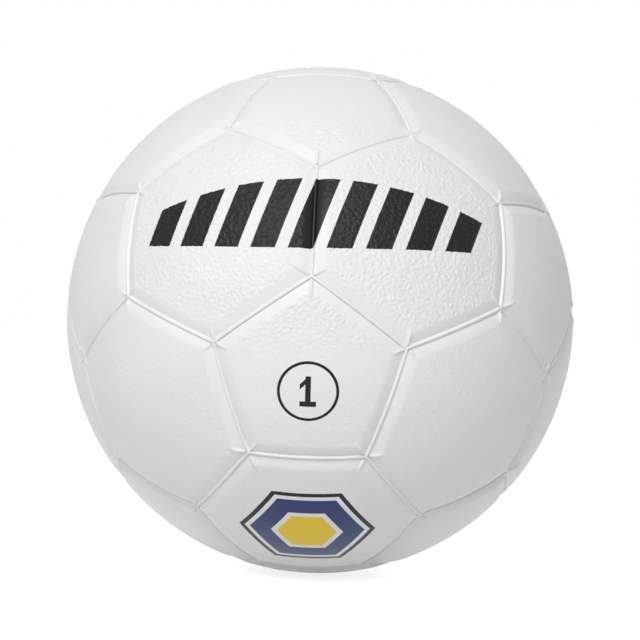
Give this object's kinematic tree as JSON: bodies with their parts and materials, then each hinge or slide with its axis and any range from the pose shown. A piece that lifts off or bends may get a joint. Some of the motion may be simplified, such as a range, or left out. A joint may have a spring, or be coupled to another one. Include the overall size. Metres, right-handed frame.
{
  "type": "handball",
  "caption": "White moulded-rubber handball: pentagon and hexagon cover panels bonded on a ribbed carcass over a nylon winding and butyl bladder, with a removable needle valve plug.",
  "frame": {"origin": "centre of the ball", "axes": "+Z out through the middle of the top hexagon panel, -Y to the front, where a pentagon panel faces the viewer, and the valve to the back in the plane X = 0"},
  "size_m": [0.1622, 0.1624, 0.1624],
  "materials": {
    "cover_rubber": "satin",
    "carcass_rubber": "satin",
    "winding_nylon": "satin",
    "bladder_butyl": "matte",
    "valve_rubber": "satin"
  },
  "bodies": {
    "ball": {"bladder": "bladder_butyl", "carcass": "carcass_rubber", "nylon_winding": "winding_nylon", "panel_hexagon_01": "cover_rubber", "panel_hexagon_02": "cover_rubber", "panel_hexagon_03": "cover_rubber", "panel_hexagon_04": "cover_rubber", "panel_hexagon_05": "cover_rubber", "panel_hexagon_06": "cover_rubber", "panel_hexagon_07": "cover_rubber", "panel_hexagon_08": "cover_rubber", "panel_hexagon_09": "cover_rubber", "panel_hexagon_10": "cover_rubber", "panel_hexagon_11": "cover_rubber", "panel_hexagon_12": "cover_rubber", "panel_hexagon_13": "cover_rubber", "panel_hexagon_14": "cover_rubber", "panel_hexagon_15": "cover_rubber", "panel_hexagon_16": "cover_rubber", "panel_hexagon_17": "cover_rubber", "panel_hexagon_18": "cover_rubber", "panel_hexagon_19": "cover_rubber", "panel_hexagon_20": "cover_rubber", "panel_pentagon_01": "cover_rubber", "panel_pentagon_02": "cover_rubber", "panel_pentagon_03": "cover_rubber", "panel_pentagon_04": "cover_rubber", "panel_pentagon_05": "cover_rubber", "panel_pentagon_06": "cover_rubber", "panel_pentagon_07": "cover_rubber", "panel_pentagon_08": "cover_rubber", "panel_pentagon_09": "cover_rubber", "panel_pentagon_10": "cover_rubber", "panel_pentagon_11": "cover_rubber", "panel_pentagon_12": "cover_rubber", "valve_seat": "valve_rubber"},
    "plug": {"valve_plug": "valve_rubber"}
  },
  "joints": [
    {"name": "plug_pull", "type": "slide", "parent": "ball", "child": "plug", "axis": [0, 0.9822, 0.1876], "range_m": [0, 0.016]}
  ]
}
